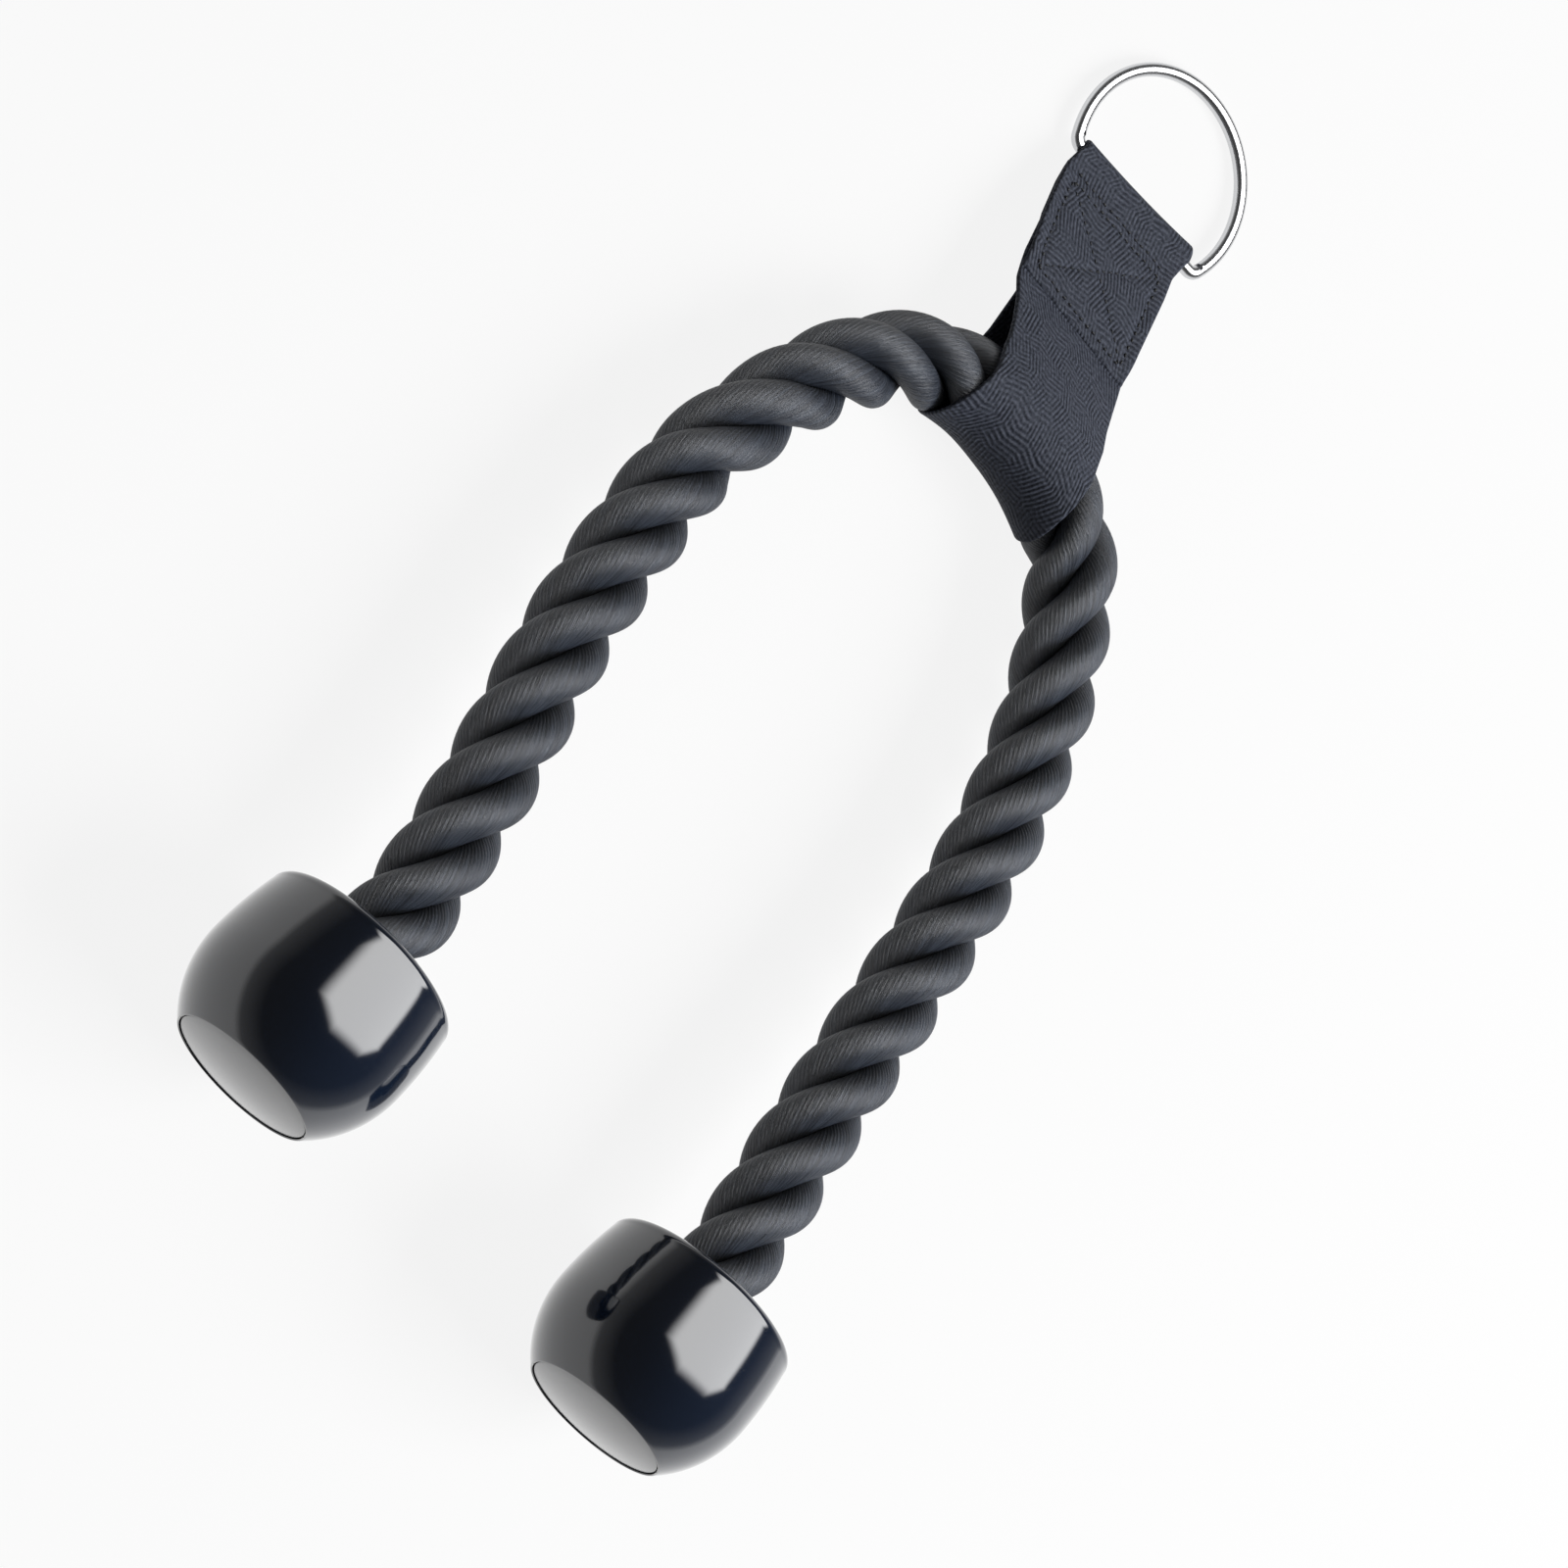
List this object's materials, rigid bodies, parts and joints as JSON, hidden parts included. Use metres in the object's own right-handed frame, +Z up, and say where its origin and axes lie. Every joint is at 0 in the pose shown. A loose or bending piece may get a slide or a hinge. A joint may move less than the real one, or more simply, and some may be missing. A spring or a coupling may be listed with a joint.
{
  "type": "triceps rope attachment",
  "caption": "Cable-machine triceps rope: a thick rope hung by its middle from a webbing strap with a D-ring, with a moulded ball on each end.",
  "frame": {"origin": "on the surface that the part lies on, below the middle of its box", "axes": "+Z up from the surface it lies on, +Y from the balls towards the D-ring, +X to the right with the D-ring at the far side"},
  "size_m": [0.1972, 0.415, 0.062],
  "materials": {
    "chrome_wire": "polished chrome plate on round steel wire",
    "nylon_webbing": "charcoal nylon webbing with a fine twill weave",
    "twisted_rope": "black three-strand polypropylene rope, slightly shiny",
    "ball_plastic": "high-gloss black moulded plastic",
    "cap_plastic": "black moulded plastic, a little less glossy than the ball",
    "zinc_steel": "zinc-plated steel"
  },
  "bodies": {
    "rope_middle": {"rope_centre": "twisted_rope"},
    "strap": {"webbing_strap": "nylon_webbing"},
    "ring": {"d_ring": "chrome_wire"},
    "left_leg": {"rope_left_leg": "twisted_rope", "left_retaining_washer": "zinc_steel", "left_crimp_ferrule": "zinc_steel"},
    "right_leg": {"rope_right_leg": "twisted_rope", "right_retaining_washer": "zinc_steel", "right_crimp_ferrule": "zinc_steel"},
    "left_ball": {"left_ball_shell": "ball_plastic", "left_end_cap": "cap_plastic"},
    "right_ball": {"right_ball_shell": "ball_plastic", "right_end_cap": "cap_plastic"}
  },
  "joints": [
    {"name": "strap_swing", "type": "hinge", "parent": "rope_middle", "child": "strap", "pos_m": [0.0036, 0.081, 0.0148], "axis": [0.9963, -0.0854, 0], "range_deg": [-120, 120]},
    {"name": "ring_swing", "type": "hinge", "parent": "strap", "child": "ring", "pos_m": [-0.00289, 0.16252, 0.0038], "axis": [0.9999, -0.0105, 0], "range_deg": [-165, 150]},
    {"name": "left_leg_bend", "type": "hinge", "parent": "rope_middle", "child": "left_leg", "pos_m": [-0.02636, 0.08357, 0.0148], "axis": [0, 0, -1], "range_deg": [-7.5, 45]},
    {"name": "right_leg_bend", "type": "hinge", "parent": "rope_middle", "child": "right_leg", "pos_m": [0.03356, 0.07843, 0.0148], "axis": [0, 0, 1], "range_deg": [-7.5, 45]},
    {"name": "left_ball_turn", "type": "hinge", "parent": "left_leg", "child": "left_ball", "pos_m": [-0.0676, -0.1762, 0.03101], "axis": [-0.1461, -0.9892, 0.0122], "continuous": true},
    {"name": "right_ball_turn", "type": "hinge", "parent": "right_leg", "child": "right_ball", "pos_m": [0.067, -0.1818, 0.03101], "axis": [-0.1253, -0.992, 0.0122], "continuous": true}
  ]
}
